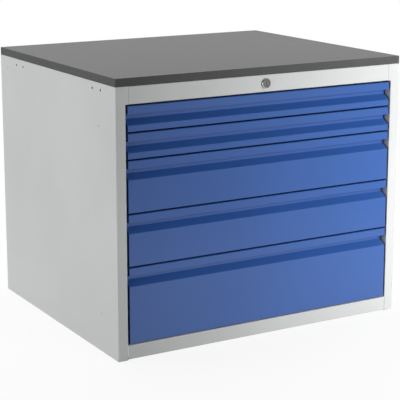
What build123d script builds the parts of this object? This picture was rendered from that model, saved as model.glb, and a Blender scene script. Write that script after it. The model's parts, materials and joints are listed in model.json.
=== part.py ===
"""Floor-standing steel workshop cabinet with five drawers, shown closed and unlocked.

Millimetres. The origin is on the floor under the middle of the cabinet: +X is to the right
of someone facing the drawers, +Y runs to the back and +Z is up.
"""

import os
from math import cos, radians, sin

from build123d import *

os.makedirs("parts", exist_ok=True)

# Carcass of folded sheet
cabinet_width = 950
cabinet_depth = 800
floor_gap = 2
bottom_rail_height = 41
top_rail_height = 49
panel_sheet = 1.5
panel_bend = 2.5
stile_width = 30.5
stile_return = 28
stile_ear = 9
side_flange = 25
bottom_rail_return = 20
bottom_rail_seam = 0.6
top_rail_return = 30
top_rail_seam = 0.6
top_rail_tab = 16
base_rear_flange = 25
rear_rail_height = 45
rear_rail_depth = 25

# Pairs of joining holes in the side panels
side_hole_radius = 3.5
side_hole_pitch = 50
side_hole_drop = 19
front_hole_setback = 90
rear_hole_setback = 128

# Posts inside the side panels that carry the slides
post_sheet = 1.5
post_width = 40
post_foot = 15
front_post_setback = 105
rear_post_setback = 75

# Worktop board with a laminate face and an edge band
worktop_thickness = 23
laminate_thickness = 0.8
edge_band_thickness = 2
edge_band_round = 1.2
worktop_corner = 3

# Screws that hold the worktop from below
worktop_screw_radius = 2.5
worktop_screw_bite = 14
worktop_screw_head_radius = 5
worktop_screw_head_height = 2.5
worktop_screw_spread_share = 0.55

# Drawers, from the top one down, in counts of the smallest one
drawer_unit_counts = (1, 1, 2, 2, 3)
drawer_unit = 75
front_gap = 4.5
front_bottom_gap = 3
front_side_gap = 6
front_sheet = 1.2
front_bend = 2
front_depth = 27
front_lap = 18
front_end_inset = 5
grip_lip_height = 23
grip_depth = 24
grip_wall_height = 15
grip_slope_height = 15
tray_sheet = 1
tray_bend = 1.5
tray_rise = 10
tray_drop = 12
tray_hem = 8
tray_rear_gap = 45

# Ball-bearing slides of three rails and two ball cages on each side of a drawer
slide_height = 45
slide_thickness = 19
slide_front_gap = 3
slide_rear_gap = 47
rail_sheet = 1.2
cabinet_rail_flange = 13
mid_rail_flange = 11.2
drawer_rail_flange = 11
ball_row_height = 3.2
ball_row_width = 8
cage_sheet = 0.5
cage_length_share = 0.48
rail_screw_radius = 2.5
rail_screw_length = 12
rail_screw_head_radius = 5
rail_screw_head_height = 1.4

# Cylinder lock, its rod and the locking bar behind the drawers
lock_head_radius = 14.5
lock_head_height = 5
lock_head_round = 2
lock_face_radius = 9.5
lock_face_recess = 0.8
lock_body_radius = 11
lock_body_length = 24
lock_nut_radius = 16
lock_nut_height = 5
plug_radius = 6.5
plug_recess = 0.5
plug_tail = 6
keyway_width = 2.2
keyway_height = 9
keyway_depth = 10
lock_rod_radius = 4
rod_bush_radius = 7
rod_bush_collar_radius = 10
rod_bush_collar = 2
crank_radius = 10
crank_thickness = 4
crank_hub_radius = 8
crank_pin_radius = 3
crank_pin_boss_radius = 5
crank_turn = 90
crank_gap = 1
bar_width = 32
bar_thickness = 3
bar_rear_gap = 8
bar_end_margin = 8
bar_slot_clearance = 0.7
catch_thickness = 2.5
catch_rise = 20
catch_nose = 4
catch_root = 7
catch_clearance = 1
guide_height = 20
guide_rise = 48
guide_wall = 6

# Clearances
running_clearance = 0.3
screw_clearance = 0.3
cut_overrun = 1

# Places worked out from the sizes above
half_width = cabinet_width / 2
front_y = -cabinet_depth / 2
back_y = cabinet_depth / 2
opening_bottom = floor_gap + bottom_rail_height
opening_top = opening_bottom + drawer_unit * sum(drawer_unit_counts)
carcass_top = opening_top + top_rail_height
side_x = -half_width + panel_sheet
stile_x = -half_width + stile_width
back_inner_y = back_y - 2 * panel_sheet
post_places = (front_y + front_post_setback, back_y - rear_post_setback)
hole_places = (
    front_y + front_hole_setback,
    front_y + front_hole_setback + side_hole_pitch,
    back_y - rear_hole_setback - side_hole_pitch,
    back_y - rear_hole_setback,
)
front_half_width = -stile_x - front_side_gap
front_rear_y = front_y + front_depth
tray_x = stile_x + slide_thickness
tray_rear_y = back_inner_y - tray_rear_gap
slide_front_y = front_rear_y + slide_front_gap
slide_length = back_inner_y - slide_rear_gap - slide_front_y
cage_length = slide_length * cage_length_share
ball_gap = ball_row_height + 2 * running_clearance
mid_half_height = slide_height / 2 - rail_sheet - ball_gap
drawer_rail_half_height = mid_half_height - rail_sheet - ball_gap
outer_cage_u = rail_sheet + rail_screw_head_height + running_clearance
mid_rail_u = outer_cage_u + cage_sheet + running_clearance
inner_cage_u = mid_rail_u + rail_sheet + running_clearance
lock_z = opening_top + top_rail_height / 2
bar_front_y = back_inner_y - bar_rear_gap - bar_thickness
crank_front_y = bar_front_y - crank_gap - crank_thickness
rear_rail_y = crank_front_y - crank_gap - rod_bush_collar
pin_side = crank_radius * cos(radians(crank_turn / 2))
pin_drop = crank_radius * sin(radians(crank_turn / 2))
bar_x = -(crank_radius + pin_side) / 2
bar_travel = 2 * pin_drop
catch_height = catch_root + bar_travel
screw_spread_x = half_width * worktop_screw_spread_share
screw_spread_y = back_y * worktop_screw_spread_share

# Bottom and top of each drawer's share of the opening, from the top drawer down
modules = []
module_top = opening_top
for unit_count in drawer_unit_counts:
    modules.append((module_top - unit_count * drawer_unit, module_top))
    module_top -= unit_count * drawer_unit
slide_heights = [bottom + drawer_unit / 2 for bottom, top in modules]

# Planes that face the front: the lock's and the crank's
lock_plane = Plane(origin=(0, front_y, lock_z), x_dir=(1, 0, 0), z_dir=(0, -1, 0))
crank_plane = lock_plane.offset(front_y - crank_front_y)
bar_plane = Plane(origin=(bar_x, bar_front_y, 0), x_dir=(1, 0, 0), z_dir=(0, -1, 0))


def folded_sheet(corners, bend, thickness, side):
    """Section of a bent sheet: a line with rounded corners, thickened to one side."""
    with BuildSketch() as section:
        with BuildLine():
            FilletPolyline(*corners, radius=bend)
            offset(amount=thickness, side=side)
        make_face()
    return section.sketch


def channel(web, tip, half_height, web_thickness, flange_thickness):
    """U section with its web at one place across the slide and its flanges out to another."""
    inner = web + web_thickness if tip > web else web - web_thickness
    half_gap = half_height - flange_thickness
    with BuildSketch() as section:
        with BuildLine():
            Polyline(
                (web, -half_height),
                (tip, -half_height),
                (tip, -half_gap),
                (inner, -half_gap),
                (inner, half_gap),
                (tip, half_gap),
                (tip, half_height),
                (web, half_height),
                close=True,
            )
        make_face()
    return section.sketch


def slide_plane(y, z):
    """Plane across a left-hand slide, with its X measured inwards from the posts."""
    return Plane(origin=(stile_x, y, z), x_dir=(1, 0, 0), z_dir=(0, -1, 0))


# Side panels: stile, ear beside the top rail, side wall and flanges in one folded sheet
side_corners = (
    (stile_x, front_y + stile_return),
    (stile_x, front_y),
    (-half_width, front_y),
    (-half_width, back_y),
    (-half_width + side_flange, back_y),
)
flange_length = back_inner_y - front_y - panel_sheet
flange_width = side_flange - panel_sheet
side_screw_points = [(side_x + flange_width / 2, y) for y in (-screw_spread_y, screw_spread_y)]
for hand in ("left", "right"):
    with BuildPart() as side_panel:
        with BuildSketch():
            add(folded_sheet(side_corners, panel_bend, panel_sheet, Side.RIGHT))
        extrude(amount=carcass_top)
        with Locations((stile_x - panel_bend, front_y, opening_top)):
            Box(
                panel_bend + cut_overrun,
                stile_return + cut_overrun,
                top_rail_height + cut_overrun,
                align=Align.MIN,
                mode=Mode.SUBTRACT,
            )
        with Locations((stile_x - panel_bend, front_y, opening_top)):
            Box(panel_bend + stile_ear, panel_sheet, top_rail_height, align=Align.MIN)
        for flange_z in (0, carcass_top - panel_sheet):
            with Locations((side_x, front_y + panel_sheet, flange_z)):
                Box(flange_width, flange_length, panel_sheet, align=Align.MIN)
        with BuildSketch(Plane.YZ.offset(-half_width - cut_overrun)):
            with Locations(*[(y, carcass_top - side_hole_drop) for y in hole_places]):
                Circle(side_hole_radius)
        extrude(amount=panel_sheet + 2 * cut_overrun, mode=Mode.SUBTRACT)
        with BuildSketch(Plane.XY.offset(carcass_top + cut_overrun)):
            with Locations(*side_screw_points):
                Circle(worktop_screw_radius + screw_clearance)
        extrude(amount=-panel_sheet - 2 * cut_overrun, mode=Mode.SUBTRACT)
        if hand == "right":
            mirror(about=Plane.YZ, mode=Mode.REPLACE)
    side_panel.part.label = f"{hand}_side_panel"
    export_step(side_panel.part, f"parts/{hand}_side_panel.step")

# Back panel, held in front of the side panels' rear flanges and clear of their bends
back_half_width = -side_x - panel_bend + panel_sheet
with BuildPart() as back_panel:
    with Locations((-back_half_width, back_inner_y, floor_gap)):
        Box(2 * back_half_width, panel_sheet, carcass_top - floor_gap, align=Align.MIN)
back_panel.part.label = "back_panel"
export_step(back_panel.part, "parts/back_panel.step")

# Base pan: bottom rail, deck and rear flange in one folded sheet, with side flanges
base_corners = (
    (front_y + bottom_rail_return, floor_gap),
    (front_y, floor_gap),
    (front_y, opening_bottom),
    (back_inner_y, opening_bottom),
    (back_inner_y, opening_bottom - base_rear_flange),
)
bottom_rail_end = -stile_x - bottom_rail_seam
deck_front_y = front_y + stile_return
deck_length = back_inner_y - panel_bend - deck_front_y
with BuildPart() as base_pan:
    with BuildSketch(Plane.YZ.offset(-bottom_rail_end)):
        add(folded_sheet(base_corners, panel_bend, panel_sheet, Side.RIGHT))
    extrude(amount=2 * bottom_rail_end)
    with Locations((side_x, deck_front_y, opening_bottom - panel_sheet)):
        Box(-2 * side_x, deck_length, panel_sheet, align=Align.MIN)
    for flange_x in (side_x, -side_x - panel_sheet):
        with Locations((flange_x, deck_front_y, opening_bottom - base_rear_flange)):
            Box(panel_sheet, deck_length, base_rear_flange, align=Align.MIN)
base_pan.part.label = "base_pan"
export_step(base_pan.part, "parts/base_pan.step")

# Top rail between the stiles' ears, with tabs welded behind them and the hole for the lock
top_rail_corners = (
    (front_y + top_rail_return, opening_top),
    (front_y, opening_top),
    (front_y, carcass_top),
    (front_y + top_rail_return, carcass_top),
)
top_rail_end = -stile_x - stile_ear - top_rail_seam
top_web_height = top_rail_height - 2 * panel_bend
front_screw_points = [(x, front_y + top_rail_return / 2) for x in (-screw_spread_x, screw_spread_x)]
with BuildPart() as top_rail:
    with BuildSketch(Plane.YZ.offset(-top_rail_end)):
        add(folded_sheet(top_rail_corners, panel_bend, panel_sheet, Side.RIGHT))
    extrude(amount=2 * top_rail_end)
    for tab_x in (-top_rail_end, top_rail_end):
        with Locations((tab_x, front_y + panel_sheet, opening_top + panel_bend)):
            Box(top_rail_tab, panel_sheet, top_web_height, align=(Align.CENTER, Align.MIN, Align.MIN))
    with BuildSketch(lock_plane.offset(cut_overrun)):
        Circle(lock_body_radius + running_clearance)
    extrude(amount=-panel_sheet - 2 * cut_overrun, mode=Mode.SUBTRACT)
    with BuildSketch(Plane.XY.offset(carcass_top + cut_overrun)):
        with Locations(*front_screw_points):
            Circle(worktop_screw_radius + screw_clearance)
    extrude(amount=-panel_sheet - 2 * cut_overrun, mode=Mode.SUBTRACT)
top_rail.part.label = "top_rail"
export_step(top_rail.part, "parts/top_rail.step")

# Rear rail under the worktop, which carries the bush of the lock's rod
rear_rail_corners = (
    (rear_rail_y - rear_rail_depth, carcass_top - rear_rail_height),
    (rear_rail_y, carcass_top - rear_rail_height),
    (rear_rail_y, carcass_top),
    (rear_rail_y - rear_rail_depth, carcass_top),
)
rear_rail_end = half_width - side_flange
rear_web_height = rear_rail_height - 2 * panel_bend
rear_screw_points = [(x, rear_rail_y - rear_rail_depth / 2) for x in (-screw_spread_x, screw_spread_x)]
with BuildPart() as rear_rail:
    with BuildSketch(Plane.YZ.offset(-rear_rail_end)):
        add(folded_sheet(rear_rail_corners, panel_bend, panel_sheet, Side.LEFT))
    extrude(amount=2 * rear_rail_end)
    with Locations((side_x, rear_rail_y - panel_sheet, carcass_top - panel_bend - rear_web_height)):
        Box(-2 * side_x, panel_sheet, rear_web_height, align=Align.MIN)
    with BuildSketch(lock_plane.offset(front_y - rear_rail_y - cut_overrun)):
        Circle(rod_bush_radius + running_clearance)
    extrude(amount=panel_sheet + 2 * cut_overrun, mode=Mode.SUBTRACT)
    with BuildSketch(Plane.XY.offset(carcass_top + cut_overrun)):
        with Locations(*rear_screw_points):
            Circle(worktop_screw_radius + screw_clearance)
    extrude(amount=-panel_sheet - 2 * cut_overrun, mode=Mode.SUBTRACT)
rear_rail.part.label = "rear_rail"
export_step(rear_rail.part, "parts/rear_rail.step")

# Slide posts: two hat sections on each side, welded to the side panel
post_web_x = stile_x - post_sheet
for hand in ("left", "right"):
    with BuildPart() as slide_posts:
        for post_y in post_places:
            leg_places = (post_y - post_width / 2, post_y + post_width / 2)
            post_corners = (
                (side_x, leg_places[0] - post_foot),
                (side_x, leg_places[0]),
                (post_web_x, leg_places[0]),
                (post_web_x, leg_places[1]),
                (side_x, leg_places[1]),
                (side_x, leg_places[1] + post_foot),
            )
            with BuildSketch(Plane.XY.offset(opening_bottom)):
                add(folded_sheet(post_corners, panel_bend, post_sheet, Side.RIGHT))
            extrude(amount=opening_top - opening_bottom)
        with BuildSketch(Plane.YZ.offset(stile_x + cut_overrun)):
            with Locations(*[(y, z) for y in post_places for z in slide_heights]):
                Circle(rail_screw_radius + screw_clearance)
        extrude(amount=-post_sheet - 2 * cut_overrun, mode=Mode.SUBTRACT)
        if hand == "right":
            mirror(about=Plane.YZ, mode=Mode.REPLACE)
    slide_posts.part.label = f"{hand}_slide_posts"
    export_step(slide_posts.part, f"parts/{hand}_slide_posts.step")

# Worktop: board, laminate face and an edge band wrapped round both
board_width = cabinet_width - 2 * edge_band_thickness
board_depth = cabinet_depth - 2 * edge_band_thickness
board_corner = worktop_corner + edge_band_thickness
laminate_z = carcass_top + worktop_thickness - laminate_thickness
pilot_depth = worktop_screw_bite - panel_sheet + screw_clearance
worktop_screw_points = [
    *side_screw_points,
    *[(-x, y) for x, y in side_screw_points],
    *front_screw_points,
    *rear_screw_points,
]
with BuildPart() as worktop_board:
    with BuildSketch(Plane.XY.offset(carcass_top)):
        RectangleRounded(board_width, board_depth, board_corner)
    extrude(amount=worktop_thickness - laminate_thickness)
    with BuildSketch(Plane.XY.offset(carcass_top - cut_overrun)):
        with Locations(*worktop_screw_points):
            Circle(worktop_screw_radius + screw_clearance)
    extrude(amount=pilot_depth + cut_overrun, mode=Mode.SUBTRACT)
worktop_board.part.label = "worktop_board"
export_step(worktop_board.part, "parts/worktop_board.step")

with BuildPart() as worktop_laminate:
    with BuildSketch(Plane.XY.offset(laminate_z)):
        RectangleRounded(board_width, board_depth, board_corner)
    extrude(amount=laminate_thickness)
worktop_laminate.part.label = "worktop_laminate"
export_step(worktop_laminate.part, "parts/worktop_laminate.step")

with BuildPart() as worktop_edge_band:
    with BuildSketch(Plane.XY.offset(carcass_top)):
        RectangleRounded(cabinet_width, cabinet_depth, worktop_corner)
        RectangleRounded(board_width, board_depth, worktop_corner, mode=Mode.SUBTRACT)
    extrude(amount=worktop_thickness)
    rims = (worktop_edge_band.faces().sort_by(Axis.Z)[0], worktop_edge_band.faces().sort_by(Axis.Z)[-1])
    fillet([edge for rim in rims for edge in rim.outer_wire().edges()], radius=edge_band_round)
worktop_edge_band.part.label = "worktop_edge_band"
export_step(worktop_edge_band.part, "parts/worktop_edge_band.step")

# Worktop screws: heads below the flanges, shanks up into the board
screw_head_z = carcass_top - panel_sheet
with BuildPart() as worktop_screws:
    with BuildSketch(Plane.XY.offset(screw_head_z)):
        with Locations(*worktop_screw_points):
            Circle(worktop_screw_head_radius)
    extrude(amount=-worktop_screw_head_height)
    with BuildSketch(Plane.XY.offset(screw_head_z)):
        with Locations(*worktop_screw_points):
            Circle(worktop_screw_radius)
    extrude(amount=worktop_screw_bite)
worktop_screws.part.label = "worktop_screws"
export_step(worktop_screws.part, "parts/worktop_screws.step")

# Lock barrel with a round, dished head in front of the top rail
with BuildPart() as lock_barrel:
    with BuildSketch(lock_plane):
        Circle(lock_head_radius)
    extrude(amount=lock_head_height)
    fillet(lock_barrel.faces().sort_by(Axis.Y)[0].edges(), radius=lock_head_round)
    with BuildSketch(lock_plane):
        Circle(lock_body_radius)
    extrude(amount=-lock_body_length)
    with BuildSketch(lock_plane.offset(lock_head_height + cut_overrun)):
        Circle(lock_face_radius)
    extrude(amount=-lock_face_recess - cut_overrun, mode=Mode.SUBTRACT)
    with BuildSketch(lock_plane.offset(lock_head_height + cut_overrun)):
        Circle(plug_radius + running_clearance)
    extrude(amount=-lock_head_height - lock_body_length - 2 * cut_overrun, mode=Mode.SUBTRACT)
lock_barrel.part.label = "lock_barrel"
export_step(lock_barrel.part, "parts/lock_barrel.step")

with BuildPart() as lock_nut:
    with BuildSketch(lock_plane.offset(-panel_sheet)):
        RegularPolygon(lock_nut_radius, side_count=6)
        Circle(lock_body_radius + running_clearance, mode=Mode.SUBTRACT)
    extrude(amount=-lock_nut_height)
lock_nut.part.label = "lock_nut"
export_step(lock_nut.part, "parts/lock_nut.step")

# Turning plug with its keyway, and the rod that takes the turn to the back
plug_front = lock_head_height - plug_recess
plug_rear_y = front_y + lock_body_length + plug_tail
with BuildPart() as lock_plug:
    with BuildSketch(lock_plane.offset(plug_front)):
        Circle(plug_radius)
    extrude(amount=front_y - plug_rear_y - plug_front)
    with BuildSketch(lock_plane.offset(plug_front + cut_overrun)):
        Rectangle(keyway_width, keyway_height)
    extrude(amount=-keyway_depth - cut_overrun, mode=Mode.SUBTRACT)
lock_plug.part.label = "lock_plug"
export_step(lock_plug.part, "parts/lock_plug.step")

with BuildPart() as lock_rod:
    with BuildSketch(lock_plane.offset(front_y - plug_rear_y)):
        Circle(lock_rod_radius)
    extrude(amount=plug_rear_y - crank_front_y)
lock_rod.part.label = "lock_rod"
export_step(lock_rod.part, "parts/lock_rod.step")

# Bush in the rear rail, with a collar on the crank's side
with BuildPart() as rod_bush:
    with BuildSketch(lock_plane.offset(front_y - rear_rail_y)):
        Circle(rod_bush_collar_radius)
    extrude(amount=-rod_bush_collar)
    with BuildSketch(lock_plane.offset(front_y - rear_rail_y)):
        Circle(rod_bush_radius)
    extrude(amount=panel_sheet + rod_bush_collar)
    with BuildSketch(lock_plane.offset(front_y - rear_rail_y - rod_bush_collar - cut_overrun)):
        Circle(lock_rod_radius + running_clearance)
    extrude(amount=panel_sheet + 2 * rod_bush_collar + 2 * cut_overrun, mode=Mode.SUBTRACT)
rod_bush.part.label = "rod_bush"
export_step(rod_bush.part, "parts/rod_bush.step")

# Crank at the rod's end: its pin starts low and lifts the locking bar
with BuildPart() as lock_crank:
    with BuildSketch(crank_plane):
        Circle(crank_hub_radius)
        with Locations((-pin_side, -pin_drop)):
            Circle(crank_pin_boss_radius)
        make_hull()
    extrude(amount=-crank_thickness)
    with BuildSketch(crank_plane.offset(-crank_thickness)):
        with Locations((-pin_side, -pin_drop)):
            Circle(crank_pin_radius)
    extrude(amount=-2 * crank_gap - bar_thickness)
lock_crank.part.label = "lock_crank"
export_step(lock_crank.part, "parts/lock_crank.step")

# Locking bar: a slot for the crank's pin and one window for each drawer's catch
pin_z = lock_z - pin_drop
slot_height = 2 * (crank_pin_radius + bar_slot_clearance)
slot_length = slot_height + crank_radius - pin_side
bar_bottom = opening_bottom + bar_end_margin
bar_top = pin_z + slot_height / 2 + bar_end_margin
window_places = [(0, bottom + catch_rise + catch_height / 2) for bottom, top in modules]
with BuildPart() as locking_bar:
    with BuildSketch(bar_plane):
        with Locations((0, (bar_bottom + bar_top) / 2)):
            Rectangle(bar_width, bar_top - bar_bottom)
        with Locations(*window_places):
            Rectangle(
                catch_thickness + 2 * catch_clearance,
                catch_height + 2 * catch_clearance,
                mode=Mode.SUBTRACT,
            )
        with Locations((0, pin_z)):
            SlotOverall(slot_length, slot_height, mode=Mode.SUBTRACT)
    extrude(amount=-bar_thickness)
locking_bar.part.label = "locking_bar"
export_step(locking_bar.part, "parts/locking_bar.step")

# Guide blocks on the back panel, beside the top and the bottom drawer
guide_front_y = bar_front_y - running_clearance - guide_wall
guide_width = bar_width + 2 * (running_clearance + guide_wall)
with BuildPart() as bar_guides:
    for bottom in (modules[0][0], modules[-1][0]):
        with BuildSketch(Plane.XY.offset(bottom + guide_rise)):
            with Locations((bar_x, (guide_front_y + back_inner_y) / 2)):
                Rectangle(guide_width, back_inner_y - guide_front_y)
            with Locations((bar_x, bar_front_y + bar_thickness / 2)):
                Rectangle(
                    bar_width + 2 * running_clearance,
                    bar_thickness + 2 * running_clearance,
                    mode=Mode.SUBTRACT,
                )
        extrude(amount=guide_height)
bar_guides.part.label = "bar_guides"
export_step(bar_guides.part, "parts/bar_guides.step")

# Screws through the cabinet rails into the posts
rail_screw_points = [(y, z) for y in post_places for z in slide_heights]
with BuildPart() as rail_screws:
    with BuildSketch(Plane.YZ.offset(stile_x + rail_sheet)):
        with Locations(*rail_screw_points):
            Circle(rail_screw_head_radius)
    extrude(amount=rail_screw_head_height)
    with BuildSketch(Plane.YZ.offset(stile_x + rail_sheet)):
        with Locations(*rail_screw_points):
            Circle(rail_screw_radius)
    extrude(amount=-rail_screw_length)
    mirror(about=Plane.YZ)
rail_screws.part.label = "rail_screws"
export_step(rail_screws.part, "parts/rail_screws.step")

# The five drawers, numbered from the top, each with its slides
for number, (module_bottom, module_top) in enumerate(modules, start=1):
    slide_z = module_bottom + drawer_unit / 2
    is_lowest = number == len(modules)

    # Cabinet rails on the posts
    with BuildPart() as cabinet_rails:
        with BuildSketch(slide_plane(slide_front_y, slide_z)):
            add(channel(0, cabinet_rail_flange, slide_height / 2, rail_sheet, rail_sheet))
        extrude(amount=-slide_length)
        with BuildSketch(Plane.YZ.offset(stile_x - cut_overrun)):
            with Locations(*[(y, slide_z) for y in post_places]):
                Circle(rail_screw_radius + screw_clearance)
        extrude(amount=rail_sheet + 2 * cut_overrun, mode=Mode.SUBTRACT)
        mirror(about=Plane.YZ)
    cabinet_rails.part.label = f"cabinet_rails_{number}"
    export_step(cabinet_rails.part, f"parts/cabinet_rails_{number}.step")

    # Outer ball cages, half as long as the rails and in the middle of them
    cage_front_y = slide_front_y + (slide_length - cage_length) / 2
    with BuildPart() as outer_ball_cages:
        with BuildSketch(slide_plane(cage_front_y, slide_z)):
            add(
                channel(
                    outer_cage_u,
                    outer_cage_u + ball_row_width,
                    mid_half_height + running_clearance + ball_row_height,
                    cage_sheet,
                    ball_row_height,
                )
            )
        extrude(amount=-cage_length)
        mirror(about=Plane.YZ)
    outer_ball_cages.part.label = f"outer_ball_cages_{number}"
    export_step(outer_ball_cages.part, f"parts/outer_ball_cages_{number}.step")

    # Middle rails, which travel half as far as the drawer
    with BuildPart() as mid_rails:
        with BuildSketch(slide_plane(slide_front_y, slide_z)):
            add(channel(mid_rail_u, mid_rail_u + mid_rail_flange, mid_half_height, rail_sheet, rail_sheet))
        extrude(amount=-slide_length)
        mirror(about=Plane.YZ)
    mid_rails.part.label = f"mid_rails_{number}"
    export_step(mid_rails.part, f"parts/mid_rails_{number}.step")

    # Inner ball cages between the middle rails and the drawer's own rails
    with BuildPart() as inner_ball_cages:
        with BuildSketch(slide_plane(cage_front_y, slide_z)):
            add(
                channel(
                    inner_cage_u,
                    inner_cage_u + ball_row_width,
                    drawer_rail_half_height + running_clearance + ball_row_height,
                    cage_sheet,
                    ball_row_height,
                )
            )
        extrude(amount=-cage_length)
        mirror(about=Plane.YZ)
    inner_ball_cages.part.label = f"inner_ball_cages_{number}"
    export_step(inner_ball_cages.part, f"parts/inner_ball_cages_{number}.step")

    # Drawer rails on the sides of the tray
    with BuildPart() as drawer_rails:
        with BuildSketch(slide_plane(slide_front_y, slide_z)):
            add(
                channel(
                    slide_thickness,
                    slide_thickness - drawer_rail_flange,
                    drawer_rail_half_height,
                    rail_sheet,
                    rail_sheet,
                )
            )
        extrude(amount=-slide_length)
        mirror(about=Plane.YZ)
    drawer_rails.part.label = f"drawer_rails_{number}"
    export_step(drawer_rails.part, f"parts/drawer_rails_{number}.step")

    # Front folded from one sheet: a grip bent in across its whole width, laps on the tray, inset ends
    front_top = module_top - front_gap
    front_bottom = module_bottom + (front_bottom_gap if is_lowest else 0)
    lip_bottom = front_top - grip_lip_height
    wall_bottom = lip_bottom - grip_wall_height
    slope_bottom = wall_bottom - grip_slope_height
    front_corners = (
        (front_rear_y, front_top - front_lap),
        (front_rear_y, front_top),
        (front_y, front_top),
        (front_y, lip_bottom),
        (front_y + grip_depth, lip_bottom),
        (front_y + grip_depth, wall_bottom),
        (front_y, slope_bottom),
        (front_y, front_bottom),
        (front_rear_y, front_bottom),
        (front_rear_y, front_bottom + front_lap),
    )
    half_sheet = front_sheet / 2
    plate_end_x = front_half_width - front_end_inset
    with BuildPart() as drawer_front:
        with BuildSketch(Plane.YZ.offset(-front_half_width)):
            add(folded_sheet(front_corners, front_bend, front_sheet, Side.LEFT))
        extrude(amount=2 * front_half_width)
        for plate_x in (-plate_end_x, plate_end_x - front_sheet):
            with BuildSketch(Plane.YZ.offset(plate_x)):
                with BuildLine():
                    Polyline(
                        (front_y + half_sheet, front_bottom + half_sheet),
                        (front_rear_y - half_sheet, front_bottom + half_sheet),
                        (front_rear_y - half_sheet, front_top - half_sheet),
                        (front_y + half_sheet, front_top - half_sheet),
                        (front_y + half_sheet, lip_bottom + half_sheet),
                        (front_y + grip_depth + half_sheet, lip_bottom + half_sheet),
                        (front_y + grip_depth + half_sheet, wall_bottom),
                        (front_y + half_sheet, slope_bottom),
                        close=True,
                    )
                make_face()
            extrude(amount=front_sheet)
    drawer_front.part.label = f"drawer_front_{number}"
    export_step(drawer_front.part, f"parts/drawer_front_{number}.step")

    # Tray with hemmed sides, and the catch that reaches through the locking bar
    tray_bottom = module_bottom + tray_rise
    tray_top = module_top - tray_drop
    hem_z = tray_top - tray_sheet
    tray_corners = (
        (tray_x - tray_hem, hem_z),
        (tray_x, hem_z),
        (tray_x, tray_bottom),
        (-tray_x, tray_bottom),
        (-tray_x, hem_z),
        (-tray_x + tray_hem, hem_z),
    )
    wall_inset = tray_sheet / 2
    catch_bottom = module_bottom + catch_rise
    notch_front_y = bar_front_y - catch_clearance
    notch_rear_y = bar_front_y + bar_thickness + catch_clearance
    with BuildPart() as drawer_tray:
        with BuildSketch(Plane.XZ.offset(-front_rear_y)):
            add(folded_sheet(tray_corners, tray_bend, tray_sheet, Side.LEFT))
        extrude(amount=front_rear_y - tray_rear_y)
        for wall_y in (front_rear_y, tray_rear_y - tray_sheet):
            with Locations((tray_x + wall_inset, wall_y, tray_bottom + wall_inset)):
                Box(
                    -2 * (tray_x + wall_inset),
                    tray_sheet,
                    tray_top - tray_bottom - wall_inset,
                    align=Align.MIN,
                )
        with BuildSketch(Plane.YZ.offset(bar_x - catch_thickness / 2)):
            with BuildLine():
                Polyline(
                    (tray_rear_y - wall_inset, catch_bottom),
                    (notch_front_y, catch_bottom),
                    (notch_front_y, catch_bottom + bar_travel),
                    (notch_rear_y, catch_bottom + bar_travel),
                    (notch_rear_y, catch_bottom),
                    (notch_rear_y + catch_nose, catch_bottom),
                    (notch_rear_y + catch_nose, catch_bottom + catch_height),
                    (tray_rear_y - wall_inset, catch_bottom + catch_height),
                    close=True,
                )
            make_face()
        extrude(amount=catch_thickness)
    drawer_tray.part.label = f"drawer_tray_{number}"
    export_step(drawer_tray.part, f"parts/drawer_tray_{number}.step")
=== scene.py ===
import json
import math

import bmesh
import bpy
from mathutils import Matrix, Vector


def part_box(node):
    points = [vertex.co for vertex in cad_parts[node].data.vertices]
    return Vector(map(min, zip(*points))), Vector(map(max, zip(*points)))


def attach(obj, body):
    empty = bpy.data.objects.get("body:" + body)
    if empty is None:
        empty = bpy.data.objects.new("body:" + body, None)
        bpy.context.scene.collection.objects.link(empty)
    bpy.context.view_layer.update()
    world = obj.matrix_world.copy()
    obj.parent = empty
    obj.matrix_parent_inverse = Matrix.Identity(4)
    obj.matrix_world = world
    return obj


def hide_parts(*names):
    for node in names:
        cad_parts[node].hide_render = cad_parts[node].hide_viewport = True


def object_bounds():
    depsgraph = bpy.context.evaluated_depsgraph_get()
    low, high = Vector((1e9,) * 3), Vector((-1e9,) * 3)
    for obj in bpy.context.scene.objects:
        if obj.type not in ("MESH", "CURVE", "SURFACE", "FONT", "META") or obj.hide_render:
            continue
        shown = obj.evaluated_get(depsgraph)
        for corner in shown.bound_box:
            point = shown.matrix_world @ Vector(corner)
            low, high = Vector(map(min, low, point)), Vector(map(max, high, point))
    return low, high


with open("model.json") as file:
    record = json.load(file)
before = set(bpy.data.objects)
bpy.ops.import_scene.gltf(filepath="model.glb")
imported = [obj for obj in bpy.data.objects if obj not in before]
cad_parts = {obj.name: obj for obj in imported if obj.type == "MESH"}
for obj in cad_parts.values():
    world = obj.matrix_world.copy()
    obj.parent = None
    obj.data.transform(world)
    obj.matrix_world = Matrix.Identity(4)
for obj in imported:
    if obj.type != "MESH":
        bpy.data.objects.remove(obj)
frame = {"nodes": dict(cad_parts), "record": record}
cadLow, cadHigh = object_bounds()
scene = bpy.context.scene
drawerCount = sum(name.startswith("drawer_front_") for name in frame["nodes"])
millimetre = 0.001
pureWhite = (1.0, 1.0, 1.0, 1.0)
print("frame:", len(frame["nodes"]), "nodes,", drawerCount, "drawers")


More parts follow.
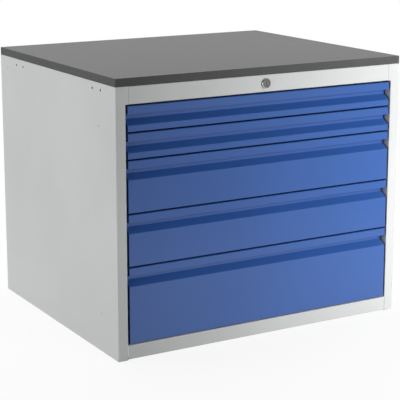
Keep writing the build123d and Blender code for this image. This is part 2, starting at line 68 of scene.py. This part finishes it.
# one socket of a node tree: arithmetic on it adds Math nodes
class Wire:
    def __init__(self, tree, socket=None):
        self.tree = tree
        self.socket = socket

    # a node of any other kind: its settings first, then values or wires for its sockets
    def node(self, kind, settings, sockets, out=0):
        made = self.tree.nodes.new("ShaderNode" + kind)
        for name, value in settings.items():
            setattr(made, name, value)
        for name, value in sockets.items():
            if isinstance(value, Wire):
                self.tree.links.new(value.socket, made.inputs[name])
            else:
                made.inputs[name].default_value = value
        return Wire(self.tree, made.outputs[out] if made.outputs else None)

    def maths(self, operation, first, second=0.0):
        return self.node("Math", {"operation": operation}, {0: first, 1: second})

    def alone(self, operation):
        return self.maths(operation, self)

    def __add__(self, other):
        return self.maths("ADD", self, other)

    def __radd__(self, other):
        return self.maths("ADD", other, self)

    def __sub__(self, other):
        return self.maths("SUBTRACT", self, other)

    def __rsub__(self, other):
        return self.maths("SUBTRACT", other, self)

    def __mul__(self, other):
        return self.maths("MULTIPLY", self, other)

    def __rmul__(self, other):
        return self.maths("MULTIPLY", other, self)

    def __truediv__(self, other):
        return self.maths("DIVIDE", self, other)

    def __pow__(self, other):
        return self.maths("POWER", self, other)


def place(wire):
    return wire.node("TexCoord", {}, {}, "Object")


def axisOf(wire, letter):
    return wire.node("SeparateXYZ", {}, {"Vector": place(wire)}, letter)


def stretched(wire, scale):
    return wire.node("Mapping", {}, {"Vector": place(wire), "Scale": scale})


def noise(wire, scale, detail=2.0, vector=None):
    sockets = {"Vector": vector or place(wire), "Scale": scale, "Detail": detail}
    return wire.node("TexNoise", {}, sockets, "Fac")


def distance(across, rise):
    return (across ** 2.0 + rise ** 2.0) ** 0.5


# 0 below low, 1 above high, smooth between
def spread(value, low, high):
    settings = {"interpolation_type": "SMOOTHSTEP"}
    return value.node("MapRange", settings, {"Value": value, "From Min": low, "From Max": high})


def blendColours(mask, first, second):
    return mask.node("Mix", {"data_type": "RGBA"}, {0: mask, 6: first, 7: second}, 2)


def tinted(colour, share):
    return (*[channel * share for channel in colour[:3]], 1.0)


# a darker and a lighter tint of one colour, mixed by a mask
def twoTints(mask, colour, tints):
    dark, light = tints
    return blendColours(mask, tinted(colour, dark), tinted(colour, light))


# a noise averages one half, so the middle value stays the average
def varied(middle, value, span):
    return middle + (value - 0.5) * span


def bumped(height, strength, depth):
    return height.node("Bump", {}, {"Height": height, "Strength": strength, "Distance": depth})


def newFinish(name, surface, **settings):
    finish = bpy.data.materials.new(name)
    finish.use_nodes = True
    finish.node_tree.nodes.clear()
    wire = Wire(finish.node_tree)
    wire.node("OutputMaterial", {}, {"Surface": surface(wire, **settings)})
    return finish


# baked powder paint: fine orange peel, a slow drift of tone and small changes of gloss
powderGrain = {
    "driftScale": 2.2,
    "driftReach": (0.3, 0.7),
    "driftTints": (0.965, 1.03),
    "fleckScale": 420.0,
    "fleckReach": (0.62, 0.8),
    "fleckShare": 0.35,
    "fleckTint": 0.9,
    "peelScale": 650.0,
    "waveScale": 190.0,
    "waveShare": 0.8,
    "peelDepth": 0.25 * millimetre,
    "glossScale": 38.0,
    "glossSpan": 0.1,
}


def powderPaint(wire, colour, roughness, peel, shine, marks=None):
    grain = powderGrain
    drift = spread(noise(wire, grain["driftScale"], detail=3.0), *grain["driftReach"])
    flecks = spread(noise(wire, grain["fleckScale"]), *grain["fleckReach"]) * grain["fleckShare"]
    tone = twoTints(drift, colour, grain["driftTints"])
    tone = blendColours(flecks, tone, tinted(colour, grain["fleckTint"]))
    waves = noise(wire, grain["waveScale"], detail=1.0) * grain["waveShare"]
    height = noise(wire, grain["peelScale"]) + waves
    if marks:
        dents = marks(wire)
        height = height - dents * weldMarks["depth"]
        # painted shade: the paint is darkened in each dent, partly as shade in the dimple and partly as a
        # grinding mark
        tone = blendColours(dents * weldMarks["shadeAndGrindDarkness"], tone, tinted(colour, weldMarks["shadeAndGrindTint"]))
    sockets = {
        "Base Color": tone,
        "Roughness": varied(roughness, noise(wire, grain["glossScale"], detail=3.0), grain["glossSpan"]),
        "Specular IOR Level": shine,
        "Normal": bumped(height, peel, grain["peelDepth"]),
    }
    return wire.node("BsdfPrincipled", {}, sockets)


# spot welds show as shallow dents on the outside of the side panels and the back; each dent is also
# painted darker, partly as painted shade in the dimple and partly as a grinding mark
weldMarks = {
    "radius": 3.4 * millimetre,
    "edgeShare": 0.55,
    "depth": 2.5,  # in heights of the orange peel
    "shadeAndGrindDarkness": 0.62,
    "shadeAndGrindTint": 0.3,
    "sidePlaces": [  # depth, height and strength of each mark on a side panel
        (-0.2952, 0.6482, 1.0),
        (-0.2952, 0.1103, 1.0),
        (0.291, 0.731, 0.8),
        (0.344, 0.731, 0.8),
        (0.291, 0.1425, 0.5),
        (0.344, 0.1425, 0.5),
    ],
    "sideSkin": (1.5 * millimetre, 0.5 * millimetre),  # the marks fade out this far under the face
    "backInset": 12.5 * millimetre,
    "backPitch": 0.120,
    "backStrength": 0.35,
    "backSkin": (1.2 * millimetre, 0.4 * millimetre),
}


def weldDents(wire):
    across = axisOf(wire, "X").alone("ABSOLUTE")
    depth = axisOf(wire, "Y")
    rise = axisOf(wire, "Z")
    onSide = spread(across, *[cadHigh.x - skin for skin in weldMarks["sideSkin"]])
    onBack = spread(depth, *[cadHigh.y - skin for skin in weldMarks["backSkin"]])
    rim = (weldMarks["radius"] * weldMarks["edgeShare"], weldMarks["radius"])
    dents = 0.0
    for y, z, strength in weldMarks["sidePlaces"]:
        reach = distance(depth - y, rise - z)
        dents = dents + (1.0 - spread(reach, *rim)) * strength
    pitch = weldMarks["backPitch"]
    step = ((rise / pitch).alone("FRACT") - 0.5) * pitch
    reach = distance(across - (cadHigh.x - weldMarks["backInset"]), step)
    return dents * onSide + (1.0 - spread(reach, *rim)) * onBack * weldMarks["backStrength"]


bodyGrey = newFinish(
    "bodyGrey",
    powderPaint,
    colour=(0.565, 0.58, 0.572),
    roughness=0.46,
    peel=0.18,
    shine=0.5,
    marks=weldDents,
)
trayGrey = newFinish(
    "trayGrey", powderPaint, colour=(0.5, 0.515, 0.51), roughness=0.5, peel=0.2, shine=0.5
)
drawerBlue = newFinish(
    "drawerBlue", powderPaint, colour=(0.031, 0.097, 0.327), roughness=0.315, peel=0.16, shine=0.7
)


# pressed laminate: a fine pearled texture with light and dark grains
laminateGrain = {
    "pearlScale": 260.0,
    "pearlReach": (0.35, 0.7),
    "pearlTints": (0.84, 1.14),
    "sparkScale": 900.0,
    "sparkReach": (0.66, 0.78),
    "sparkShare": 0.6,
    "sparkTint": 1.7,
    "driftScale": 1.6,
    "driftReach": (0.3, 0.75),
    "driftTint": 1.06,
    "glossSpan": 0.2,
    "sparkHeight": 0.5,
    "bump": 0.3,
    "depth": 0.3 * millimetre,
}


def laminate(wire, colour, roughness, shine):
    grain = laminateGrain
    pearls = noise(wire, grain["pearlScale"], detail=3.0)
    sparks = noise(wire, grain["sparkScale"])
    drift = spread(noise(wire, grain["driftScale"]), *grain["driftReach"])
    tone = twoTints(spread(pearls, *grain["pearlReach"]), colour, grain["pearlTints"])
    lightGrains = spread(sparks, *grain["sparkReach"]) * grain["sparkShare"]
    tone = blendColours(lightGrains, tone, tinted(colour, grain["sparkTint"]))
    tone = blendColours(drift, tone, tinted(colour, grain["driftTint"]))
    height = pearls + sparks * grain["sparkHeight"]
    sockets = {
        "Base Color": tone,
        "Roughness": varied(roughness, pearls, grain["glossSpan"]),
        "Specular IOR Level": shine,
        "Normal": bumped(height, grain["bump"], grain["depth"]),
    }
    return wire.node("BsdfPrincipled", {}, sockets)


worktopFace = newFinish(
    "worktopFace", laminate, colour=(0.07, 0.07, 0.0705), roughness=0.44, shine=0.37
)


# extruded edge band: faint lines run along it, over a fine mottle
bandGrain = {
    "lineScale": (9.0, 9.0, 1500.0),
    "lineReach": (0.3, 0.75),
    "lineTints": (0.9, 1.1),
    "mottleScale": 300.0,
    "mottleReach": (0.42, 0.66),
    "mottleShare": 0.5,
    "mottleTint": 0.55,
    "glossScale": 60.0,
    "glossSpan": 0.16,
    "bump": 0.12,
    "depth": 0.2 * millimetre,
}


def edgeBand(wire, colour, roughness, shine):
    grain = bandGrain
    lines = noise(wire, 1.0, detail=3.0, vector=stretched(wire, grain["lineScale"]))
    mottle = spread(noise(wire, grain["mottleScale"]), *grain["mottleReach"]) * grain["mottleShare"]
    tone = twoTints(spread(lines, *grain["lineReach"]), colour, grain["lineTints"])
    tone = blendColours(mottle, tone, tinted(colour, grain["mottleTint"]))
    sockets = {
        "Base Color": tone,
        "Roughness": varied(roughness, noise(wire, grain["glossScale"]), grain["glossSpan"]),
        "Specular IOR Level": shine,
        "Normal": bumped(lines, grain["bump"], grain["depth"]),
    }
    return wire.node("BsdfPrincipled", {}, sockets)


worktopEdge = newFinish(
    "worktopEdge", edgeBand, colour=(0.092, 0.093, 0.094), roughness=0.42, shine=0.1
)


# chipboard under the laminate
chipGrain = {
    "chipScale": 210.0,
    "chipShare": 0.4,
    "fibreScale": 340.0,
    "fibreReach": (0.4, 0.7),
    "fibreShare": 0.5,
    "fibreTint": 0.6,
    "bump": 0.4,
    "depth": 0.4 * millimetre,
}


def chipboard(wire, colour, roughness):
    grain = chipGrain
    chips = wire.node("TexVoronoi", {}, {"Vector": place(wire), "Scale": grain["chipScale"]}, "Color")
    fibres = noise(wire, grain["fibreScale"], detail=3.0)
    softLight = {"data_type": "RGBA", "blend_type": "SOFT_LIGHT"}
    tone = wire.node("Mix", softLight, {0: grain["chipShare"], 6: (*colour, 1.0), 7: chips}, 2)
    darkFibres = spread(fibres, *grain["fibreReach"]) * grain["fibreShare"]
    tone = blendColours(darkFibres, tone, tinted(colour, grain["fibreTint"]))
    sockets = {
        "Base Color": tone,
        "Roughness": roughness,
        "Normal": bumped(fibres, grain["bump"], grain["depth"]),
    }
    return wire.node("BsdfPrincipled", {}, sockets)


worktopCore = newFinish("worktopCore", chipboard, colour=(0.42, 0.29, 0.17), roughness=0.85)


# bright zinc on rolled strip: long rolling lines and a faint spangle
zincGrain = {
    "lineReach": (0.3, 0.7),
    "lineTints": (0.86, 1.1),
    "spangleScale": 190.0,
    "spangleReach": (0.2, 0.7),
    "spangleShare": 0.3,
    "spangleTint": 0.8,
    "glossSpan": 0.22,
    "bump": 0.1,
    "depth": 0.1 * millimetre,
}


def zincStrip(wire, colour, roughness, lineScale):
    grain = zincGrain
    lines = noise(wire, 1.0, detail=3.0, vector=stretched(wire, lineScale))
    spangle = wire.node(
        "TexVoronoi", {}, {"Vector": place(wire), "Scale": grain["spangleScale"]}, "Distance"
    )
    tone = twoTints(spread(lines, *grain["lineReach"]), colour, grain["lineTints"])
    frost = spread(spangle, *grain["spangleReach"]) * grain["spangleShare"]
    tone = blendColours(frost, tone, tinted(colour, grain["spangleTint"]))
    sockets = {
        "Base Color": tone,
        "Roughness": varied(roughness, lines, grain["glossSpan"]),
        "Metallic": 1.0,
        "Normal": bumped(lines, grain["bump"], grain["depth"]),
    }
    return wire.node("BsdfPrincipled", {}, sockets)


zincSteel = newFinish(
    "zincSteel", zincStrip, colour=(0.58, 0.59, 0.61), roughness=0.36, lineScale=(900.0, 6.0, 900.0)
)
cageSteel = newFinish(
    "cageSteel", zincStrip, colour=(0.46, 0.46, 0.47), roughness=0.42, lineScale=(600.0, 12.0, 600.0)
)


# plated lock parts: turning marks round the axis; the bezel and rim are painted brighter as a painted
# sheen and a painted highlight, the skirt, the groove and the keyway are painted dark as painted shade
lockShades = {
    "wearScale": 320.0,
    "wearReach": (0.35, 0.7),
    "wearTints": (0.85, 1.12),
    "glossSpan": 0.12,
    "ringPitch": 0.45 * millimetre,
    "ringBump": 0.06,
    "ringDepth": 0.05 * millimetre,
    # the groove at the dish's step is painted dark: painted shade
    "grooveReach": (8.6 * millimetre, 9.4 * millimetre, 10.4 * millimetre),
    "grooveShadeShare": 0.85,
    "grooveTint": 0.2,
    # bezel and rim painted brighter: a painted sheen and a painted highlight where the glint falls; skirt
    # painted dark: painted shade on the side of the head
    "bezelReach": (12.0 * millimetre, 12.8 * millimetre),
    "bezelTint": 1.1,
    "rimReach": (13.2 * millimetre, 13.7 * millimetre),
    "rimTint": 2.2,
    "skirtReach": (14.25 * millimetre, 14.48 * millimetre),
    "skirtTint": 0.1,
    # the keyway is painted nearly black: painted shade inside the slot
    "keywayReach": (4.8 * millimetre, 5.2 * millimetre),
    "keywayDepth": (0.3 * millimetre, 1.0 * millimetre),
    "keywayTint": 0.04,
}


def platedMetal(wire, colour, roughness, axis, face):
    shades = lockShades
    rise = axisOf(wire, "Z") - axis
    depth = axisOf(wire, "Y") - face
    reach = distance(axisOf(wire, "X"), rise)
    rings = (reach * (math.tau / shades["ringPitch"])).alone("SINE")
    wear = noise(wire, shades["wearScale"], detail=3.0)
    tone = twoTints(spread(wear, *shades["wearReach"]), colour, shades["wearTints"])
    # painted sheen on the bezel, painted highlight on the rim, painted shade on the skirt
    for zone in ("bezel", "rim", "skirt"):
        outside = spread(reach, *shades[zone + "Reach"])
        tone = blendColours(outside, tone, tinted(colour, shades[zone + "Tint"]))
    # painted shade in the groove at the dish's step
    start, middle, end = shades["grooveReach"]
    grooveShade = spread(reach, start, middle) * (1.0 - spread(reach, middle, end))
    tone = blendColours(grooveShade * shades["grooveShadeShare"], tone, tinted(colour, shades["grooveTint"]))
    # painted shade inside the keyway
    keywayShade = spread(depth, *shades["keywayDepth"]) * (1.0 - spread(reach, *shades["keywayReach"]))
    tone = blendColours(keywayShade, tone, tinted(colour, shades["keywayTint"]))
    sockets = {
        "Base Color": tone,
        "Roughness": varied(roughness, wear, shades["glossSpan"]),
        "Metallic": 1.0,
        "Normal": bumped(rings, shades["ringBump"], shades["ringDepth"]),
    }
    return wire.node("BsdfPrincipled", {}, sockets)


barrelLow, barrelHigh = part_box("lock_barrel")
lockAxis = (barrelLow.z + barrelHigh.z) / 2
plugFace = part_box("lock_plug")[0].y
lockNickel = newFinish(
    "lockNickel", platedMetal, colour=(0.42, 0.415, 0.4), roughness=0.13, axis=lockAxis, face=plugFace
)


# moulded plastic of the bush and the guides
plasticGrain = {
    "scale": 700.0,
    "reach": (0.3, 0.7),
    "tints": (0.8, 1.25),
    "glossSpan": 0.15,
    "bump": 0.2,
    "depth": 0.1 * millimetre,
}


def mouldedPlastic(wire, colour, roughness):
    grain = plasticGrain
    grit = noise(wire, grain["scale"])
    sockets = {
        "Base Color": twoTints(spread(grit, *grain["reach"]), colour, grain["tints"]),
        "Roughness": varied(roughness, grit, grain["glossSpan"]),
        "Normal": bumped(grit, grain["bump"], grain["depth"]),
    }
    return wire.node("BsdfPrincipled", {}, sockets)


blackPlastic = newFinish("blackPlastic", mouldedPlastic, colour=(0.022, 0.022, 0.023), roughness=0.5)
print("finishes made")

# every carried-over node takes the finish of its slot in the record
finishOfSlot = {
    "body_grey": bodyGrey,
    "drawer_blue": drawerBlue,
    "tray_grey": trayGrey,
    "worktop_core": worktopCore,
    "worktop_face": worktopFace,
    "worktop_edge": worktopEdge,
    "zinc_steel": zincSteel,
    "cage_steel": cageSteel,
    "lock_nickel": lockNickel,
    "black_plastic": blackPlastic,
}
for subpart in frame["record"]["subparts"]:
    node = frame["nodes"][subpart["node"]]
    node.data.materials.clear()
    node.data.materials.append(finishOfSlot[subpart["material_slot"]])
print("nodes dressed")


def newMesh(shape, name):
    mesh = bpy.data.meshes.new(name)
    shape.to_mesh(mesh)
    shape.free()
    return mesh


def makePiece(shape, name, body, slotName):
    mesh = newMesh(shape, name)
    mesh.materials.append(finishOfSlot[slotName])
    piece = bpy.data.objects.new(name, mesh)
    scene.collection.objects.link(piece)
    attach(piece, body)
    return piece


def cornersOf(geometry):
    return [item for item in geometry if isinstance(item, bmesh.types.BMVert)]


def duplicated(shape):
    whole = shape.verts[:] + shape.edges[:] + shape.faces[:]
    return cornersOf(bmesh.ops.duplicate(shape, geom=whole)["geom"])


# ball cages: a folded strip with a row of steel balls along each edge
ballCage = {
    "sheet": 0.5 * millimetre,
    "rowHeight": 3.2 * millimetre,
    "rowWidth": 8 * millimetre,
    "ballPitch": 11.5 * millimetre,
    "ballInsetShare": 1.3,  # of a ball's radius, from the strip's tip to the row
    "ballSides": 10,
    "ballRings": 6,
}


def cageStrip(low, high):
    strip = bmesh.new()
    edge = ballCage["rowHeight"] / 2
    tip = low.x + ballCage["rowWidth"]
    web = low.x + ballCage["sheet"] / 2
    places = ((tip, low.z + edge), (web, low.z + edge), (web, high.z - edge), (tip, high.z - edge))
    corners = [strip.verts.new((x, low.y, z)) for x, z in places]
    edges = [strip.edges.new(pair) for pair in zip(corners, corners[1:])]
    ends = cornersOf(bmesh.ops.extrude_edge_only(strip, edges=edges)["geom"])
    bmesh.ops.translate(strip, verts=ends, vec=(0, high.y - low.y, 0))
    bmesh.ops.recalc_face_normals(strip, faces=strip.faces)
    bmesh.ops.solidify(strip, geom=strip.faces[:], thickness=ballCage["sheet"])
    return newMesh(strip, "cageStrip")


def cageBalls(low, high):
    balls = bmesh.new()
    radius = ballCage["rowHeight"] / 2
    pitch = ballCage["ballPitch"]
    count = int((high.y - low.y - 2 * radius) / pitch)
    first = low.y + (high.y - low.y - (count - 1) * pitch) / 2
    x = low.x + ballCage["rowWidth"] - ballCage["ballInsetShare"] * radius
    for index in range(count):
        bmesh.ops.create_uvsphere(
            balls,
            u_segments=ballCage["ballSides"],
            v_segments=ballCage["ballRings"],
            radius=radius,
            matrix=Matrix.Translation((x, first + index * pitch, low.z + radius)),
        )
    upperRow = duplicated(balls)
    bmesh.ops.translate(balls, verts=upperRow, vec=(0, 0, high.z - low.z - 2 * radius))
    return balls


for rank in ("outer", "inner"):
    firstLow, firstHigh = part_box(f"{rank}_ball_cages_1")
    shape = cageBalls(firstLow, firstHigh)
    stripMesh = cageStrip(firstLow, firstHigh)
    shape.from_mesh(stripMesh)
    bpy.data.meshes.remove(stripMesh)
    bmesh.ops.scale(shape, verts=duplicated(shape), vec=(-1, 1, 1))
    bmesh.ops.recalc_face_normals(shape, faces=shape.faces)
    for number in range(1, drawerCount + 1):
        nodeName = f"{rank}_ball_cages_{number}"
        copied = shape.copy()
        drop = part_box(nodeName)[0] - firstLow
        bmesh.ops.translate(copied, verts=copied.verts[:], vec=drop)
        cage = makePiece(copied, f"{rank}BallCages{number}", f"{rank}_cages_{number}", "cage_steel")
        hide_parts(nodeName)
    shape.free()
print("ball cages made")

# rivets through each tray's front wall into the laps of its front
frontRivets = {
    "radius": 4.5 * millimetre,
    "height": 1.6 * millimetre,
    "domeShares": ((0, 1), (0.55, 0.86), (0.9, 0.45), (1, 0)),  # of the radius and the height
    "baseShares": ((1, -0.2), (0, -0.2)),  # the base is sunk in the wall
    "segments": 16,
    "spreads": (-0.38, -0.19, 0.0, 0.19, 0.38),
    "lapInset": 13.5 * millimetre,
    "wall": 1 * millimetre,
    "mergeReach": 0.002 * millimetre,
}


def domeRivet(shape, x, y, z):
    radius = frontRivets["radius"]
    height = frontRivets["height"]
    shares = frontRivets["domeShares"] + frontRivets["baseShares"]
    outline = [(reach * radius, rise * height) for reach, rise in shares]
    corners = [shape.verts.new((x + reach, y + rise, z)) for reach, rise in outline]
    edges = [shape.edges.new(pair) for pair in zip(corners, corners[1:])]
    bmesh.ops.spin(
        shape,
        geom=corners + edges,
        cent=(x, y, z),
        axis=(0, 1, 0),
        angle=math.tau,
        steps=frontRivets["segments"],
        use_merge=True,
    )


for number in range(1, drawerCount + 1):
    frontLow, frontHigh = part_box(f"drawer_front_{number}")
    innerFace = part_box(f"drawer_tray_{number}")[0].y + frontRivets["wall"]
    shape = bmesh.new()
    for x in frontRivets["spreads"]:
        for z in (frontLow.z + frontRivets["lapInset"], frontHigh.z - frontRivets["lapInset"]):
            domeRivet(shape, x, innerFace, z)
    bmesh.ops.remove_doubles(shape, verts=shape.verts, dist=frontRivets["mergeReach"])
    bmesh.ops.recalc_face_normals(shape, faces=shape.faces)
    rivets = makePiece(shape, f"frontRivets{number}", f"drawer_{number}", "zinc_steel")
    rivets.data.shade_smooth()
print("rivets set")


# what the camera sees straight on or through glass, and what surfaces mirror
def seenDirectly(wire):
    camera = wire.node("LightPath", {}, {}, "Is Camera Ray")
    return camera + wire.node("LightPath", {}, {}, "Is Transmission Ray")


def seenMirrored(wire):
    return wire.node("LightPath", {}, {}, "Is Glossy Ray")


def mixShaders(share, first, second):
    return share.node("MixShader", {}, {0: share, 1: first, 2: second})


def whiteGlow(wire, kind, strength):
    return wire.node(kind, {}, {"Color": pureWhite, "Strength": strength})


def matt(wire, albedo):
    return wire.node("BsdfDiffuse", {}, {"Color": tinted(pureWhite, albedo)})


# floor: white to the camera, with the cabinet's shadow kept
studioFloor = {
    "reach": 40.0,
    "whiteShare": 0.88,
    "shadowAlbedo": 0.9,
    "shadowReach": (0.9, 2.2),
    "bounceAlbedo": 0.38,
    "mirrorReach": (1.4, 1.95),
    "mirrorNear": 1.0,
    "mirrorFar": 0.52,
}


def floorPaint(wire, floor):
    reach = wire.node("VectorMath", {"operation": "LENGTH"}, {0: place(wire)}, "Value")
    beyond = spread(reach, *floor["shadowReach"])
    whiteness = floor["whiteShare"] + beyond * (1.0 - floor["whiteShare"])
    shown = mixShaders(whiteness, matt(wire, floor["shadowAlbedo"]), whiteGlow(wire, "Emission", 1.0))
    near = whiteGlow(wire, "Emission", floor["mirrorNear"])
    far = whiteGlow(wire, "Emission", floor["mirrorFar"])
    mirrored = mixShaders(spread(reach, *floor["mirrorReach"]), near, far)
    indirect = mixShaders(seenMirrored(wire), matt(wire, floor["bounceAlbedo"]), mirrored)
    return mixShaders(seenDirectly(wire), indirect, shown)


shape = bmesh.new()
bmesh.ops.create_grid(shape, x_segments=1, y_segments=1, size=studioFloor["reach"])
floorMesh = newMesh(shape, "studioFloor")
floorFinish = newFinish("floorPaint", floorPaint, floor=studioFloor)
floorFinish.cycles.emission_sampling = "NONE"
floorMesh.materials.append(floorFinish)
floorObject = bpy.data.objects.new("studioFloor", floorMesh)
scene.collection.objects.link(floorObject)

# world: white where it is seen, an even light elsewhere; mirrored, it is a dark room on the camera's side
studioRoom = {
    "ambient": 0.14,
    "mirrorBack": 1.0,
    "mirrorFront": 0.25,
    "mirrorCeiling": 0.05,
    "frontTurn": (-0.35, 0.25),
    "ceilingRise": (0.3, 0.6),
}


def studioSky(wire, room):
    direction = wire.node("TexCoord", {}, {}, "Generated")
    towardsBack = wire.node("SeparateXYZ", {}, {"Vector": direction}, "Y")
    upwards = wire.node("SeparateXYZ", {}, {"Vector": direction}, "Z")
    front = whiteGlow(wire, "Background", room["mirrorFront"])
    ceiling = whiteGlow(wire, "Background", room["mirrorCeiling"])
    darkRoom = mixShaders(spread(upwards, *room["ceilingRise"]), front, ceiling)
    back = whiteGlow(wire, "Background", room["mirrorBack"])
    mirrored = mixShaders(spread(towardsBack, *room["frontTurn"]), darkRoom, back)
    even = whiteGlow(wire, "Background", room["ambient"])
    indirect = mixShaders(seenMirrored(wire), even, mirrored)
    return mixShaders(seenDirectly(wire), indirect, whiteGlow(wire, "Background", 1.0))


world = bpy.data.worlds.new("studioWorld")
world.use_nodes = True
world.node_tree.nodes.clear()
sky = Wire(world.node_tree)
sky.node("OutputWorld", {}, {"Surface": studioSky(sky, studioRoom)})
world.cycles.sampling_method = "NONE"
scene.world = world

# soft lamps: the front one is narrowed towards the right end of the drawers, and only one is mirrored
studioLamps = {
    "frontLamp": {
        "centre": (1.12, -2.4, 0.9),
        "aim": (1.21, -0.4, 0.45),
        "size": (1.6, 1.6),
        "power": 30,
        "spread": 92,
        "mirrored": False,
    },
    "grazeLamp": {
        "centre": (-3.0, -1.2, 0.7),
        "aim": (0.4, -0.4, 0.45),
        "size": (1.1, 1.4),
        "power": 25,
        "spread": 180,
        "mirrored": True,
    },
    "leftLamp": {
        "centre": (-3.0, 1.5, 1.2),
        "aim": (-0.475, 0.1, 0.5),
        "size": (1.8, 1.6),
        "power": 46.5,
        "spread": 180,
        "mirrored": False,
    },
    "rightLamp": {
        "centre": (3.2, 0.9, 0.9),
        "aim": (0.475, 0.0, 0.4),
        "size": (2.0, 1.8),
        "power": 35,
        "spread": 180,
        "mirrored": False,
    },
    "topLamp": {
        "centre": (0.0, 0.7, 3.4),
        "aim": (0.0, 0.4, 0.8),
        "size": (2.4, 2.0),
        "power": 57,
        "spread": 180,
        "mirrored": False,
    },
    "rearLamp": {
        "centre": (0.6, 3.6, 1.1),
        "aim": (0.1, 0.4, 0.4),
        "size": (2.2, 1.8),
        "power": 60,
        "spread": 180,
        "mirrored": False,
    },
}
for name, lamp in studioLamps.items():
    light = bpy.data.lights.new(name, "AREA")
    light.shape = "RECTANGLE"
    light.size, light.size_y = lamp["size"]
    light.energy = lamp["power"]
    light.spread = math.radians(lamp["spread"])
    lampObject = bpy.data.objects.new(name, light)
    lampObject.location = lamp["centre"]
    facing = Vector(lamp["aim"]) - Vector(lamp["centre"])
    lampObject.rotation_euler = facing.to_track_quat("-Z", "Y").to_euler()
    lampObject.visible_camera = False
    lampObject.visible_glossy = lamp["mirrored"]
    scene.collection.objects.link(lampObject)
print("studio lit")

# camera at the photograph's own standpoint, turned and tilted onto the cabinet
photoCamera = {
    "standpoint": (-2.0607, -3.5675, 1.3094),
    "turn": 30.226,
    "tilt": 12.13,
    "lens": 121.5,
    "shiftY": -0.08,
}
cameraData = bpy.data.cameras.new("photoCamera")
cameraData.lens = photoCamera["lens"]
cameraData.shift_y = photoCamera["shiftY"]
cameraObject = bpy.data.objects.new("photoCamera", cameraData)
cameraObject.location = photoCamera["standpoint"]
cameraPitch = math.radians(90 - photoCamera["tilt"])
cameraObject.rotation_euler = (cameraPitch, 0, math.radians(-photoCamera["turn"]))
scene.collection.objects.link(cameraObject)
scene.camera = cameraObject
scene.view_settings.view_transform = "Standard"
